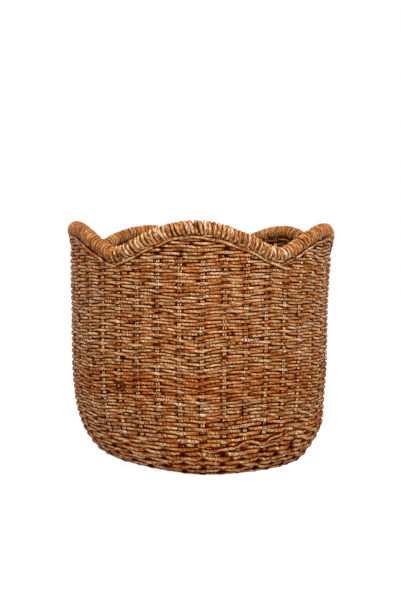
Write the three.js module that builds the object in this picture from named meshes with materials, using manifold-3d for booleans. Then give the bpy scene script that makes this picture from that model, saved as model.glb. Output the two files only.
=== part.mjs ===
// Round basket of twisted banana leaf cord with a scalloped, wrapped rim, at real size in millimetres.
// +Z is up, the front faces -Y, and the origin is where the basket's axis meets the floor.
// Pairs of thin canes, the stakes, start in the woven base, turn up round the foot and end under the
// rim. The weave is laid round them in level rows up to the rim's valleys, and short rows above that
// fill each scallop. A bent rod runs along the top, and leaf strips are wound round it.

import * as THREE from 'three'
import { mergeVertices } from 'three/addons/utils/BufferGeometryUtils.js'
import Module from 'manifold-3d'

const wasm = await Module()
wasm.setup()

// Outline of the basket: radii from its axis to the middle of the wall, heights, and how far the
// rim's peaks rise above its valleys
const rimRadius = 216
const bellyRadius = 213
const footRadius = 122
const footHeight = 250
const rimPeakHeight = 389
const scallopRise = 41

// Cord and canes of the wall, and the gap between pieces that touch
const cordDiameter = 4.9
const caneDiameter = 2.8
const clearance = 0.35

// Rim: the rod inside and the leaf strips wound round it
const rimDiameter = 24
const rimRodDiameter = 14
const wrapCrownDepth = 1.3

// Base: its crossed sticks, the square left open round the cross, and the stakes' hold in the base
const baseStickSize = 3.8
const baseStickGap = 1.2
const hubMargin = 3
const stakeRoot = 22

// Counts, angles in degrees and shares
const stakeCount = 39
const canesPerStake = 2
const firstStakeAngle = 1
const humpAngles = [-154.5, -73.7, -2, 69.6, 135.4]
const valleyRoundnessShare = 0.25
const footOutShare = 0.64
const footDownShare = 0.55
const baseSticksPerSet = 5
const roundSteps = 78
const footSteps = 5
const stepsPerHump = 16
const wrapRingsPerStep = 4
const wrapRingPoints = 7
const rodSides = 6

// Sizes that follow from the ones above
const wallThickness = 2 * cordDiameter + caneDiameter
const stakeWidth = canesPerStake * caneDiameter
const baseMiddle = wallThickness / 2
const rimValleyHeight = rimPeakHeight - scallopRise
const levelTop = rimValleyHeight - rimDiameter / 2
const slotHalfWidth = wallThickness / 2 + clearance
const baseStickPitch = baseStickSize + baseStickGap
const hubHalfWidth = (baseSticksPerSet - 1) / 2 * baseStickPitch + baseStickSize / 2 + hubMargin
const stakeReach = footRadius - stakeRoot
const baseStickReach = stakeReach - cordDiameter
const fullTurn = 2 * Math.PI

const materials = {
  weave: material(0x94603a, 0.8),
  cane: material(0xc8a57c, 0.6),
  wrap: material(0x9c6a3e, 0.7)
}

function material (color, roughness) {
  return new THREE.MeshStandardMaterial({ color, roughness, metalness: 0 })
}

// Angles run round the basket from the front, towards the viewer's right
function around (radius, angle, height) {
  return new THREE.Vector3(radius * Math.sin(angle), -radius * Math.cos(angle), height)
}

// Scallops: the rim's middle line is a row of broad humps with tight, rounded valleys
function humpAngle (index) {
  const turns = Math.floor(index / humpAngles.length)
  const place = index - turns * humpAngles.length
  return THREE.MathUtils.degToRad(humpAngles[place]) + turns * fullTurn
}

function rimAngle (hump, step) {
  const index = hump + Math.floor(step / stepsPerHump)
  const share = hump + step / stepsPerHump - index
  return THREE.MathUtils.lerp(humpAngle(index), humpAngle(index + 1), share)
}

function humpShape (turnsFromHump) {
  const wave = Math.cos(Math.PI * turnsFromHump)
  const rounded = Math.hypot(wave, valleyRoundnessShare) - valleyRoundnessShare
  return rounded / (Math.hypot(1, valleyRoundnessShare) - valleyRoundnessShare)
}

function rimHeight (angle) {
  let hump = 0
  while (angle < humpAngle(hump)) hump--
  while (angle >= humpAngle(hump + 1)) hump++
  const share = (angle - humpAngle(hump)) / (humpAngle(hump + 1) - humpAngle(hump))
  return THREE.MathUtils.lerp(rimValleyHeight, rimPeakHeight, humpShape(share))
}

function rimSlope (angle) {
  const step = fullTurn / (roundSteps * roundSteps)
  return (rimHeight(angle + step) - rimHeight(angle - step)) / (2 * step * rimRadius)
}

// Height of the rod's underside, where the wall and the stakes end
function underRod (angle) {
  const steepness = Math.hypot(1, rimSlope(angle))
  return rimHeight(angle) - steepness * rimRodDiameter / 2 - clearance
}

// Middle line of the wall, from the basket's axis outwards, round the foot and up
function middleLine (topHeight) {
  const line = [new THREE.Vector2(0, baseMiddle), new THREE.Vector2(footRadius, baseMiddle)]
  for (let step = 1; step <= footSteps; step++) {
    const turn = step / footSteps * Math.PI / 2
    const out = Math.sin(turn) ** footOutShare
    const down = Math.max(0, Math.cos(turn)) ** footDownShare
    const radius = THREE.MathUtils.lerp(footRadius, bellyRadius, out)
    line.push(new THREE.Vector2(radius, baseMiddle + footHeight * (1 - down)))
  }
  line.push(new THREE.Vector2(rimRadius, levelTop))
  line.push(new THREE.Vector2(rimRadius, topHeight))
  return line
}

// Normals that keep the wall's thickness in each bend: they point down and outwards
function lineNormals (line) {
  return line.map((point, i) => {
    const before = line[Math.max(i - 1, 0)]
    const after = line[Math.min(i + 1, line.length - 1)]
    const into = point.clone().sub(before).normalize()
    const out = after.clone().sub(point).normalize()
    if (i === 0) into.copy(out)
    if (i === line.length - 1) out.copy(into)
    const along = into.clone().add(out).normalize()
    const mitre = along.dot(into)
    return new THREE.Vector2(along.y, -along.x).divideScalar(mitre)
  })
}

function shifted (line, normals, distance) {
  return line.map((point, i) => point.clone().addScaledVector(normals[i], distance))
}

// Outline of a band of even thickness along a line
function bandOutline (line, normals, thickness) {
  const outside = shifted(line, normals, thickness / 2)
  const inside = shifted(line, normals, -thickness / 2)
  return outside.concat(inside.reverse())
}

// Solids: geometry to a closed solid and back
function toSolid (geometry) {
  const bare = geometry.clone()
  bare.deleteAttribute('normal')
  bare.deleteAttribute('uv')
  const merged = mergeVertices(bare)
  const vertProperties = new Float32Array(merged.attributes.position.array)
  const triVerts = new Uint32Array(fullFaces(merged.index.array).flat())
  return new wasm.Manifold(new wasm.Mesh({ numProp: 3, vertProperties, triVerts }))
}

// Faces with three corners: those that shrink to a line on the basket's axis are left out
function fullFaces (index) {
  const faces = []
  for (let i = 0; i < index.length; i += 3) {
    const [a, b, c] = index.slice(i, i + 3)
    if (a !== b && b !== c && c !== a) faces.push([a, b, c])
  }
  return faces
}

function toGeometry (solid) {
  const mesh = solid.getMesh()
  const geometry = new THREE.BufferGeometry()
  geometry.setAttribute('position', new THREE.BufferAttribute(mesh.vertProperties, 3))
  geometry.setIndex(new THREE.BufferAttribute(mesh.triVerts, 1))
  return geometry
}

function cut (geometry, tools) {
  return toGeometry(tools.reduce((solid, tool) => solid.subtract(toSolid(tool)), toSolid(geometry)))
}

// A closed outline turned round the basket's axis
function revolve (outline) {
  const profile = outline.concat([outline[0]])
  return new THREE.LatheGeometry(profile, roundSteps).rotateX(Math.PI / 2)
}

// A flat outline, standing in the plane through the basket's axis at an angle
function upright (outline, width, angle) {
  const shape = new THREE.Shape(outline)
  const plate = new THREE.ExtrudeGeometry(shape, { depth: width, bevelEnabled: false })
  return plate.translate(0, 0, -width / 2).rotateX(Math.PI / 2).rotateZ(angle - Math.PI / 2)
}

// Closed sections round the basket, joined one to the next
function loft (sections, isLoop) {
  const count = sections[0].length
  const faces = []
  const joins = isLoop ? sections.length : sections.length - 1
  for (let i = 0; i < joins; i++) {
    const next = (i + 1) % sections.length
    for (let p = 0; p < count; p++) {
      const q = (p + 1) % count
      faces.push([i * count + p, next * count + p, next * count + q])
      faces.push([i * count + p, next * count + q, i * count + q])
    }
  }
  const end = (sections.length - 1) * count
  for (let p = 1; p < count - 1 && !isLoop; p++) {
    faces.push([0, p, p + 1])
    faces.push([end, end + p + 1, end + p])
  }
  return meshGeometry(sections.flat(), faces)
}

function meshGeometry (points, faces) {
  const geometry = new THREE.BufferGeometry().setFromPoints(points)
  geometry.setIndex(faces.flat())
  return geometry
}

// Stakes: pairs of canes side by side, each pair one flat bar bent round the foot
const stakeAngles = Array.from({ length: stakeCount }, (_, i) =>
  THREE.MathUtils.degToRad(firstStakeAngle) + i * fullTurn / stakeCount)

function stakeTop (angle) {
  const halfWidth = stakeWidth / 2 / rimRadius
  return Math.min(underRod(angle - halfWidth), underRod(angle + halfWidth))
}

function stakeBar (angle, swell) {
  const line = middleLine(stakeTop(angle) + swell)
  line[0].x = stakeReach - swell
  const outline = bandOutline(line, lineNormals(line), caneDiameter + 2 * swell)
  return upright(outline, stakeWidth + 2 * swell, angle)
}

function stakeGeometry (angle) {
  return stakeBar(angle, 0)
}

function stakeChannel (angle) {
  return stakeBar(angle, clearance)
}

// Base sticks: two crossed sets, parallel in the middle and fanned out evenly beyond it
const baseSpread = Math.PI / 2 / baseSticksPerSet

function baseStickBar (place, isUpper, swell) {
  const side = place * baseStickPitch
  const fan = place * baseSpread
  const reach = baseStickReach + swell
  const size = baseStickSize + 2 * swell
  const end = new THREE.Vector2(reach * Math.cos(fan), reach * Math.sin(fan))
  const line = [
    new THREE.Vector2(-end.x, end.y),
    new THREE.Vector2(-hubHalfWidth, side),
    new THREE.Vector2(hubHalfWidth, side),
    end
  ]
  const shape = new THREE.Shape(bandOutline(line, lineNormals(line), size))
  const bar = new THREE.ExtrudeGeometry(shape, { depth: size, bevelEnabled: false })
  const layer = (baseStickSize + clearance) / 2
  const height = baseMiddle + (isUpper ? layer : -layer)
  return bar.translate(0, 0, height - size / 2).rotateZ(isUpper ? Math.PI / 2 : 0)
}

function baseSticks (swell) {
  const sticks = []
  for (const isUpper of [false, true]) {
    for (let i = 0; i < baseSticksPerSet; i++) {
      sticks.push(baseStickBar(i - (baseSticksPerSet - 1) / 2, isUpper, swell))
    }
  }
  return sticks
}

// Weave of the base, of the rounded foot and of the level wall, with a channel for every stake
const wallLine = middleLine(levelTop).slice(0, -1)
const footStart = 2
const footEnd = 4

function wovenBand (first, last) {
  const line = wallLine.slice(first, last + 1).map(point => point.clone())
  const normals = lineNormals(wallLine).slice(first, last + 1)
  const ahead = line[1].clone().sub(line[0]).normalize()
  const back = line.at(-2).clone().sub(line.at(-1)).normalize()
  if (first > 0) line[0].addScaledVector(ahead, clearance / 2)
  line.at(-1).addScaledVector(back, clearance / 2)
  return revolve(bandOutline(line, normals, wallThickness))
}

function baseWeave () {
  const hub = new THREE.BoxGeometry(2 * hubHalfWidth, 2 * hubHalfWidth, 2 * wallThickness)
  const tools = [hub.translate(0, 0, baseMiddle), ...baseSticks(clearance)]
  return cut(wovenBand(0, footStart), tools.concat(stakeAngles.map(stakeChannel)))
}

function footWeave () {
  return cut(wovenBand(footStart, footEnd), stakeAngles.map(stakeChannel))
}

function sideWeave () {
  return cut(wovenBand(footEnd, wallLine.length - 1), stakeAngles.map(stakeChannel))
}

// Short rows that fill one scallop, from the level wall up to the rod
function scallopWeave (hump) {
  const sections = []
  const firstStep = stepsPerHump / 2
  const inner = rimRadius - wallThickness / 2
  const outer = rimRadius + wallThickness / 2
  const endAngle = clearance / 2 / rimRadius
  for (let step = firstStep; step <= firstStep + stepsPerHump; step++) {
    const isFirst = step === firstStep
    const isLast = step === firstStep + stepsPerHump
    const angle = rimAngle(hump - 1, step) + (isFirst ? endAngle : 0) - (isLast ? endAngle : 0)
    const top = underRod(angle)
    const bottom = levelTop + clearance / 2
    sections.push([
      around(inner, angle, bottom),
      around(outer, angle, bottom),
      around(outer, angle, top),
      around(inner, angle, top)
    ])
  }
  return cut(loft(sections, false), stakeAngles.flatMap(angle => {
    return [angle, angle - fullTurn].map(stakeChannel)
  }))
}

// Rod inside the rim: its sections stand upright, so they are as tall as the rod's slope makes them
function rodSection (angle, radius) {
  const steepness = Math.hypot(1, rimSlope(angle))
  return Array.from({ length: rodSides }, (_, i) => {
    const turn = (i / rodSides - 1 / 4) * fullTurn
    const height = rimHeight(angle) + steepness * radius * Math.sin(turn)
    return around(rimRadius + radius * Math.cos(turn), angle, height)
  })
}

function rimRod () {
  const sections = []
  for (let hump = 0; hump < humpAngles.length; hump++) {
    for (let step = 0; step < stepsPerHump; step++) {
      sections.push(rodSection(rimAngle(hump, step), rimRodDiameter / 2))
    }
  }
  return loft(sections, true)
}

// Leaf strips round the rod: crowned turns side by side, square to the rim, open below for the wall
function wrapRing (angle, radius) {
  const slope = rimSlope(angle)
  const steepness = Math.hypot(1, slope)
  const outwards = around(1, angle, 0)
  const along = around(1, angle + Math.PI / 2, 0)
  const upwards = new THREE.Vector3(0, 0, 1).addScaledVector(along, -slope).divideScalar(steepness)
  const middle = around(rimRadius, angle, rimHeight(angle))
  const edge = Math.acos(slotHalfWidth / radius)
  return Array.from({ length: wrapRingPoints }, (_, i) => {
    const turn = THREE.MathUtils.lerp(-edge, Math.PI + edge, i / (wrapRingPoints - 1))
    const point = middle.clone().addScaledVector(outwards, radius * Math.cos(turn))
    return point.addScaledVector(upwards, radius * Math.sin(turn))
  })
}

function boreRing (angle) {
  const bore = rodSection(angle, rimRodDiameter / 2 + clearance).slice(1)
  const steepness = Math.hypot(1, rimSlope(angle))
  const drop = steepness * (rimRodDiameter / 2 + clearance) * Math.sin(Math.PI / rodSides)
  bore[0] = around(rimRadius + slotHalfWidth, angle, rimHeight(angle) - drop)
  bore[bore.length - 1] = around(rimRadius - slotHalfWidth, angle, rimHeight(angle) - drop)
  return bore
}

function rimWrap () {
  const outerPoints = []
  const borePoints = []
  for (let hump = 0; hump < humpAngles.length; hump++) {
    for (let step = 0; step < stepsPerHump; step++) {
      borePoints.push(...boreRing(rimAngle(hump, step)))
      for (let ring = 0; ring < wrapRingsPerStep; ring++) {
        const angle = rimAngle(hump, step + ring / wrapRingsPerStep)
        const place = (hump * stepsPerHump + step) * wrapRingsPerStep + ring
        const isCrown = place % 2 === 0
        outerPoints.push(...wrapRing(angle, rimDiameter / 2 - (isCrown ? 0 : wrapCrownDepth)))
      }
    }
  }
  return sleeve(outerPoints, borePoints)
}

// Joins the many outer rings and the fewer bore rings of an open-sided sleeve into one body
function sleeve (outerPoints, borePoints) {
  const boreCount = rodSides - 1
  const steps = borePoints.length / boreCount
  const rings = steps * wrapRingsPerStep
  const outer = (ring, p) => (ring % rings) * wrapRingPoints + p
  const bore = (step, p) => outerPoints.length + (step % steps) * boreCount + p
  const faces = []
  for (let ring = 0; ring < rings; ring++) {
    for (let p = 0; p < wrapRingPoints - 1; p++) {
      faces.push([outer(ring, p), outer(ring + 1, p), outer(ring + 1, p + 1)])
      faces.push([outer(ring, p), outer(ring + 1, p + 1), outer(ring, p + 1)])
    }
  }
  for (let step = 0; step < steps; step++) {
    for (let p = 0; p < boreCount - 1; p++) {
      faces.push([bore(step, p), bore(step + 1, p + 1), bore(step + 1, p)])
      faces.push([bore(step, p), bore(step, p + 1), bore(step + 1, p + 1)])
    }
    const first = step * wrapRingsPerStep
    const half = first + Math.floor(wrapRingsPerStep / 2)
    const edges = [
      { o: ring => outer(ring, 0), b: bore(step, 0), next: bore(step + 1, 0), isFlipped: true },
      { o: ring => outer(ring, wrapRingPoints - 1), b: bore(step, boreCount - 1),
        next: bore(step + 1, boreCount - 1), isFlipped: false }
    ]
    for (const { o, b, next, isFlipped } of edges) {
      const sides = [[o(half), next, b]]
      for (let ring = first; ring < first + wrapRingsPerStep; ring++) {
        sides.push([o(ring), o(ring + 1), ring < half ? b : next])
      }
      faces.push(...sides.map(side => isFlipped ? side.reverse() : side))
    }
  }
  return meshGeometry(outerPoints.concat(borePoints), faces)
}

// Assembly
const basket = new THREE.Group()

function add (name, geometry, finish) {
  const mesh = new THREE.Mesh(geometry, finish)
  mesh.name = name
  basket.add(mesh)
}

function numbered (name, index) {
  return `${name}_${String(index + 1).padStart(2, '0')}`
}

add('base_weave', baseWeave(), materials.weave)
add('foot_weave', footWeave(), materials.weave)
add('side_weave', sideWeave(), materials.weave)
humpAngles.forEach((_, i) => add(numbered('scallop_weave', i), scallopWeave(i), materials.weave))
baseSticks(0).forEach((stick, i) => add(numbered('base_stick', i), stick, materials.cane))
stakeAngles.forEach((angle, i) => add(numbered('stake', i), stakeGeometry(angle), materials.cane))
add('rim_rod', rimRod(), materials.cane)
add('rim_wrap', rimWrap(), materials.wrap)

export default basket
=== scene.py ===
import math

import bpy
import numpy as np
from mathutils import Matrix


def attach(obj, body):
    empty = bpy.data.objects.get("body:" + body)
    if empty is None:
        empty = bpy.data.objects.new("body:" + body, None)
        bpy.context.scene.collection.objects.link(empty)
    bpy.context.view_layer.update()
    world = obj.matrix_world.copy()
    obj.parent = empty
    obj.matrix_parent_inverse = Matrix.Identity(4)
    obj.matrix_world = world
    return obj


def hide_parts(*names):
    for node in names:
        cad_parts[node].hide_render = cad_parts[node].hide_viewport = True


# Looks of a round basket of twisted banana leaf cord with a scalloped rim wound with leaf strips.
# Angles run round the basket from its front, which faces -Y, towards the viewer's right, +X.
# Pieces are built as meshes from paths, with numbers on their points that the materials read.

MM = 0.001
TURN = 2 * math.pi

# Outline of the wall's middle surface, as in the solids
RIM_RADIUS = 216 * MM
BELLY_RADIUS = 213 * MM
FOOT_RADIUS = 122 * MM
FOOT_HEIGHT = 250 * MM
FOOT_OUT_SHARE = 0.64
FOOT_DOWN_SHARE = 0.55
RIM_PEAK_HEIGHT = 389 * MM
SCALLOP_RISE = 41 * MM
HUMP_DEGREES = (-154.5, -73.7, -2, 69.6, 135.4)
HUMP_COUNT = len(HUMP_DEGREES)
VALLEY_ROUNDNESS_SHARE = 0.25
PROFILE_STEPS = 400

# Cord, canes and rim
CORD_SIZE = 4.9 * MM
CANE_SIZE = 2.7 * MM
WALL_THICKNESS = 2 * CORD_SIZE + CANE_SIZE
RIM_SIZE = 24 * MM
ROD_SIZE = 14 * MM
STAKE_COUNT = 39
FIRST_STAKE_DEGREES = 1
STAKE_ROOT_RADIUS = 100 * MM

# Derived heights
RIM_VALLEY_HEIGHT = RIM_PEAK_HEIGHT - SCALLOP_RISE
LEVEL_TOP = RIM_VALLEY_HEIGHT - RIM_SIZE / 2
BASE_MIDDLE = WALL_THICKNESS / 2

# Seeds of the unevenness by hand. Each stake and base cane adds its own number.
ROW_PATH_SEED = 11
ROW_CORD_SEED = 12
ROW_SAG_SEED = 13
BASE_RING_SEED = 21
STRIP_SEED = 31
EDGE_CORD_SEED = 41
STRAY_SEED = 51
KNOT_SEED = 52
STAKE_SEED = 100
BASE_CANE_SEED = 200

# A leaf or cane starts anywhere along this length of its pattern
LEAF_START_SPAN = 9000 * MM


def numbered(name, index):
    return f"{name}_{index + 1:02d}"


# Solids of the wall: below the humps, and one for each hump
WALL_NODES = ("base_weave", "foot_weave", "side_weave")
HUMP_NODES = [numbered("scallop_weave", hump) for hump in range(HUMP_COUNT)]


def stacked(*values):
    """Values side by side on a last axis"""
    return np.stack(np.broadcast_arrays(*values), axis=-1)


def around(radius, angle, height):
    return stacked(radius * np.sin(angle), -radius * np.cos(angle), height)


def full_turn(count):
    return np.arange(count) * TURN / count


def eased(share):
    share = np.clip(share, 0, 1)
    return share * share * (3 - 2 * share)


def blend(first, second, share):
    """From the first value at a share of 0 to the second at 1"""
    return first + (second - first) * share


def wander(length, wavelength, random, columns=()):
    """Smooth random values between -1 and 1 along a length that starts at zero"""
    place = length / wavelength
    index = place.astype(int)
    knots = random.uniform(-1, 1, (int(index.max()) + 2, *columns))
    share = eased(place - index).reshape(-1, *[1 for _ in columns])
    return knots[index] * (1 - share) + knots[index + 1] * share


def unit(vectors):
    return vectors / np.linalg.norm(vectors, axis=-1, keepdims=True)


# Rim line: a row of broad humps with tight, rounded valleys

def hump_share(angle):
    """How high the rim stands at an angle: 0 in a valley, 1 on a peak"""
    humps = np.radians(HUMP_DEGREES)
    humps = np.concatenate([humps - TURN, humps, humps + TURN])
    wrapped = np.mod(angle + math.pi, TURN) - math.pi
    index = np.searchsorted(humps, wrapped, side="right") - 1
    share = (wrapped - humps[index]) / (humps[index + 1] - humps[index])
    rounded = np.hypot(np.cos(math.pi * share), VALLEY_ROUNDNESS_SHARE) - VALLEY_ROUNDNESS_SHARE
    return rounded / (math.hypot(1, VALLEY_ROUNDNESS_SHARE) - VALLEY_ROUNDNESS_SHARE)


def rim_height(angle):
    return RIM_VALLEY_HEIGHT + SCALLOP_RISE * hump_share(angle)


def valley_angles():
    """Angles of the valleys, with the first one again at the end"""
    humps = np.radians(HUMP_DEGREES)
    humps = np.append(humps, humps[0] + TURN)
    middles = (humps[1:] + humps[:-1]) / 2
    return np.append(middles[-1] - TURN, middles)


# Profile: the wall's middle line from the basket's axis outwards, round the foot and up

def wall_profile():
    turn = np.linspace(0, math.pi / 2, PROFILE_STEPS)
    out = np.sin(turn) ** FOOT_OUT_SHARE
    down = np.maximum(np.cos(turn), 0) ** FOOT_DOWN_SHARE
    radius = FOOT_RADIUS + (BELLY_RADIUS - FOOT_RADIUS) * out
    height = BASE_MIDDLE + FOOT_HEIGHT * (1 - down)
    radius = np.concatenate([[0], radius, [RIM_RADIUS, RIM_RADIUS]])
    height = np.concatenate([[BASE_MIDDLE], height, [LEVEL_TOP, RIM_PEAK_HEIGHT + RIM_SIZE]])
    distance = np.concatenate([[0], np.cumsum(np.hypot(np.diff(radius), np.diff(height)))])
    return radius, height, distance


PROFILE_RADIUS, PROFILE_HEIGHT, PROFILE_DISTANCE = wall_profile()
NORMAL_SPAN = 4 * MM
LEAST_RUN = 1 * MM


def wall_place(distance):
    return [np.interp(distance, PROFILE_DISTANCE, values) for values in (PROFILE_RADIUS, PROFILE_HEIGHT)]


def wall(distance):
    """Radius, height and outward normal of the wall at a distance along its profile"""
    radius, height = wall_place(distance)
    radius_before, height_before = wall_place(np.maximum(distance - NORMAL_SPAN, 0))
    radius_after, height_after = wall_place(distance + NORMAL_SPAN)
    run = radius_after - radius_before
    rise = height_after - height_before
    length = np.maximum(np.hypot(run, rise), LEAST_RUN)
    return radius, height, rise / length, -run / length


def distance_at_height(height):
    return np.interp(height, PROFILE_HEIGHT[1:], PROFILE_DISTANCE[1:])


# Small unevenness of the whole basket: it leans a little and its rows rise to one side
LEAN = -3.1 * MM
ROW_TILT = 2.6 * MM
RIM_TILT = -2 * MM
FOOT_LIFT = 15.7 * MM
FOOT_DROP = 2.7 * MM
FOOT_TILT_LOW = 9 * MM
FOOT_TILT_EASE = 13 * MM
FOOT_TILT_HIGH = 104 * MM
FOOT_TILT_POWER = 1.5
FOOT_SAG = 9.7 * MM
FOOT_SAG_LOW = 11 * MM
FOOT_SAG_HIGH = 44 * MM
FOOT_SAG_SIDE_SHARE = 1.9
FOOT_BULGE = 4.4 * MM
FOOT_BULGE_HEIGHT = 59 * MM
FOOT_BULGE_SPAN = 44 * MM


def settled(points):
    """Moves points as the hand-woven basket departs from an even one"""
    height = points[..., 2]
    share = np.clip(height / RIM_PEAK_HEIGHT, 0, 1)
    middle = np.sin(math.pi * share)
    side = points[..., 0] / RIM_RADIUS
    rising = eased((height + FOOT_TILT_EASE * np.abs(side)) / FOOT_TILT_LOW)
    falling = np.clip((FOOT_TILT_HIGH - height) / (FOOT_TILT_HIGH - FOOT_TILT_LOW), 0, 1)
    tilt = np.where(side < 0, FOOT_LIFT, FOOT_DROP) * rising * falling ** FOOT_TILT_POWER
    sagging = np.clip(height / FOOT_SAG_LOW, 0, 1)
    sagging *= np.clip((FOOT_SAG_HIGH - height) / (FOOT_SAG_HIGH - FOOT_SAG_LOW), 0, 1)
    sagging *= 1 - np.abs(side) / FOOT_SAG_SIDE_SHARE
    bulge = eased(1 - np.abs(height - FOOT_BULGE_HEIGHT) / FOOT_BULGE_SPAN)
    moved = points.copy()
    moved[..., 0] += LEAN * middle + FOOT_BULGE * np.maximum(side, 0) * bulge
    moved[..., 2] += side * (ROW_TILT * middle + RIM_TILT * share ** 2 - tilt) - FOOT_SAG * sagging
    moved[..., 2] = np.maximum(moved[..., 2], 0)
    return moved


# Meshes from arrays

def add_object(name, data):
    made = bpy.data.objects.new(name, data)
    bpy.context.scene.collection.objects.link(made)
    return made


def make_piece(name, points, corners, starts, numbers, material, nodes):
    """A mesh object that rides with the basket and stands for solids of the frame"""
    mesh = bpy.data.meshes.new(name)
    mesh.vertices.add(len(points))
    mesh.vertices.foreach_set("co", points.astype(np.float32).ravel())
    mesh.loops.add(len(corners))
    mesh.loops.foreach_set("vertex_index", corners.astype(np.int32))
    mesh.polygons.add(len(starts))
    mesh.polygons.foreach_set("loop_start", starts.astype(np.int32))
    mesh.update(calc_edges=True)
    mesh.shade_smooth()
    for label, values in numbers.items():
        kind, field = ("FLOAT_VECTOR", "vector") if values.ndim > 1 else ("FLOAT", "value")
        data = mesh.attributes.new(label, kind, "POINT").data
        data.foreach_set(field, values.astype(np.float32).ravel())
    mesh.materials.append(material)
    piece = add_object(name, mesh)
    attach(piece, "root")
    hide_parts(*nodes)


class Tubes:
    """Gathers tubes, with the numbers on their points, for one piece"""

    def __init__(self):
        self.points = []
        self.quads = []
        self.caps = []
        self.leaf = []
        self.tone = []
        self.count = 0

    def add(self, rings, leaf, tone, is_loop=False):
        """Adds rings, shaped (steps, points, 3), that are joined one to the next"""
        steps, count = rings.shape[:2]
        index = self.count + np.arange(steps * count).reshape(steps, count)
        ahead = np.roll(index, -1, axis=0)
        here = index if is_loop else index[:-1]
        ahead = ahead if is_loop else ahead[:-1]
        quads = [here, ahead, np.roll(ahead, -1, axis=1), np.roll(here, -1, axis=1)]
        self.quads.append(np.stack(quads, axis=-1).reshape(-1, 4))
        if not is_loop:
            self.caps.append(index[0])
            self.caps.append(index[-1][::-1])
        self.points.append(rings.reshape(-1, 3))
        self.leaf.append(leaf.reshape(-1, 3))
        self.tone.append(np.broadcast_to(tone, (steps, count)).reshape(-1))
        self.count += steps * count

    def finish(self, name, material, slot, *nodes):
        points = settled(np.concatenate(self.points))
        quads = np.concatenate(self.quads)
        corners = np.concatenate([quads.ravel(), *self.caps])
        lengths = np.concatenate([np.full(len(quads), 4), [len(cap) for cap in self.caps]])
        starts = np.cumsum(lengths) - lengths
        numbers = {"leaf": np.concatenate(self.leaf), "tone": np.concatenate(self.tone)}
        make_piece(name, points, corners, starts, numbers, material, nodes)


# Twisted cord: two plies round each other, as one tube with a section of two lobes
CORD_POINTS = 12
PLIES = 2
CORD_LAY = 42 * MM
TWIST_UNEVENNESS = 0.7
LOBE_SHARE = 0.12
# Painted shade and highlight on the cord: darker in the plies' grooves, at its top and bottom where rows
# meet and, by a varying amount, on the face that passes behind a stake; paler on the plies' ridges
LOBE_PAINTED_SHADE = 0.3
RIDGE_PAINTED_HIGHLIGHT = -0.12
EDGE_PAINTED_SHADE = 2
EDGE_PAINTED_SHADE_START = 0.6
RECESS_PAINTED_SHADES = (0, 2.4)
RECESS_MIDDLE_SHARE = 0.5
RECESS_VARIETY = 0.9
RECESS_LENGTH = 25 * MM
RECESS_REACH = 1.5
CRUMPLE_SHARE = 0.13
CRUMPLE_LENGTH = 6 * MM
CORD_UNEVEN_SHARE = 0.13
CORD_UNEVEN_LENGTH = 34 * MM
END_TAPER = 6 * MM
END_SHARE = 0.35
NECK_SPACING = 480 * MM
NECK_SPAN = 2.6 * MM
NECK_SHARE = 0.35
NECK_TONE = 1.2


def necks(length, random):
    """One at the short thin places where leaf was pulled tight, zero elsewhere"""
    count = max(int(length[-1] / NECK_SPACING), 1)
    places = np.sort(random.uniform(0, length[-1], count))
    index = np.searchsorted(places, length)
    before = length - places[np.maximum(index - 1, 0)]
    after = length - places[np.minimum(index, count - 1)]
    away = np.minimum(np.abs(before), np.abs(after))
    return np.exp(-(away / NECK_SPAN) ** 2)


def cord_size(length, neck, random, is_loop):
    """How full the cord is along its length: uneven, and thin at its necks and ends"""
    size = 1 + CORD_UNEVEN_SHARE * wander(length, CORD_UNEVEN_LENGTH, random) - NECK_SHARE * neck
    if is_loop:
        return size
    ends = np.minimum(length, length[-1] - length) / END_TAPER
    return size * blend(END_SHARE, 1, eased(ends))


def cord_twist(length, random, is_loop):
    """How far the plies have turned, so that they meet again where a loop closes"""
    twist = -TURN * length / CORD_LAY / PLIES + TWIST_UNEVENNESS * wander(length, CORD_LAY, random)
    if not is_loop:
        return twist
    ply_turn = TURN / PLIES
    return np.round(twist[-1] / ply_turn) * ply_turn * length / length[-1]


def cord_painted_light_and_necks(length, turn, lobes, swing, neck, random):
    """How much darker the cord is painted: painted shade in the plies' grooves, at its top and bottom
    where rows meet and on the face that dips behind a stake, a painted highlight on the plies' ridges, and
    darker at its necks
    """
    edges = eased((np.abs(np.sin(turn)) - EDGE_PAINTED_SHADE_START) / (1 - EDGE_PAINTED_SHADE_START))
    recess_shade = np.clip(-swing[:, None] * np.cos(turn) * RECESS_REACH, 0, 1)
    deepness = RECESS_MIDDLE_SHARE + RECESS_VARIETY * wander(length, RECESS_LENGTH, random)
    recess_shade_depth = blend(*RECESS_PAINTED_SHADES, eased(deepness))
    tone = LOBE_PAINTED_SHADE * eased(-lobes) + RIDGE_PAINTED_HIGHLIGHT * eased(lobes)
    tone = tone + EDGE_PAINTED_SHADE * edges[None, :] + recess_shade_depth[:, None] * recess_shade
    return tone + NECK_TONE * neck[:, None]


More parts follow.
